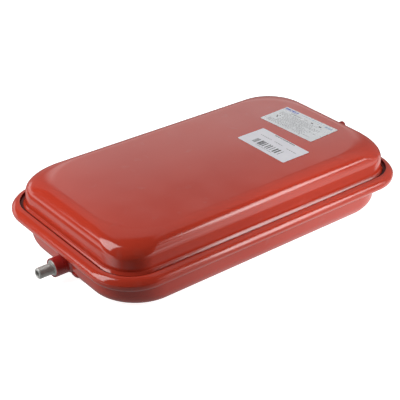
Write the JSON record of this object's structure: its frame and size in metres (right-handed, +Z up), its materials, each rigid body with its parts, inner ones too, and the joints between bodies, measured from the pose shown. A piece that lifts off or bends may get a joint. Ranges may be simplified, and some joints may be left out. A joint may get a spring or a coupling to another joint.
{
  "type": "expansion vessel",
  "caption": "Flat rectangular diaphragm expansion vessel: two pressed red shells in a rolled rim, threaded water nipple on one end, gas charging valve on the other.",
  "frame": {"origin": "centre of the flat base panel of the water shell, on which the vessel lies", "axes": "+X along the length to the charging valve (the water nipple points to -X), +Y across the width, +Z up through the gas shell"},
  "size_m": [0.4661, 0.25, 0.0856],
  "materials": {
    "gas_enamel": "gloss red stove enamel",
    "water_enamel": "gloss red stove enamel",
    "rim_enamel": "gloss red stove enamel on the rolled rim",
    "boss_enamel": "thin red overspray on turned steel",
    "zinc_plate": "zinc-plated turned steel",
    "washer_steel": "plated pressed steel",
    "stem_brass": "turned brass",
    "nut_brass": "turned brass",
    "core_brass": "fine turned brass",
    "pin_steel": "bright drawn steel wire",
    "spring_steel": "spring steel wire",
    "black_rubber": "moulded black rubber",
    "seal_rubber": "soft black seal rubber",
    "core_gasket_plastic": "red fluoropolymer ring",
    "cap_plastic": "dark red moulded plastic",
    "silver_film": "silver-grey polyester film, printed",
    "white_paper": "coated white label stock, printed"
  },
  "bodies": {
    "vessel": {"gas_shell": "gas_enamel", "water_shell": "water_enamel", "clench_ring": "rim_enamel", "connection_boss": "boss_enamel", "water_nipple": "zinc_plate", "valve_stem": "stem_brass", "valve_gasket": "seal_rubber", "valve_washer": "washer_steel", "valve_nut": "nut_brass", "core_plug": "core_brass", "core_gasket": "core_gasket_plastic", "core_barrel": "core_brass", "core_spring": "spring_steel", "rating_label": "silver_film", "barcode_label": "white_paper"},
    "membrane": {"diaphragm": "black_rubber"},
    "core_pin": {"core_pin": "pin_steel", "core_cup": "seal_rubber"},
    "valve_cap": {"valve_cap": "cap_plastic", "cap_seal": "seal_rubber"}
  },
  "joints": [
    {"name": "diaphragm_travel", "type": "slide", "parent": "vessel", "child": "membrane", "axis": [0, 0, 1], "range_m": [0, 0.04], "deforming": ["diaphragm"]},
    {"name": "core_pin_press", "type": "slide", "parent": "vessel", "child": "core_pin", "axis": [-0.9983, 0, -0.0587], "range_m": [0, 0.0015], "stiffness_N_per_m": 2000, "springref_m": -0.0015, "deforming": ["core_spring"]},
    {"name": "valve_cap_pull", "type": "slide", "parent": "vessel", "child": "valve_cap", "axis": [0.9983, 0, 0.0587], "range_m": [0, 0.016]}
  ]
}
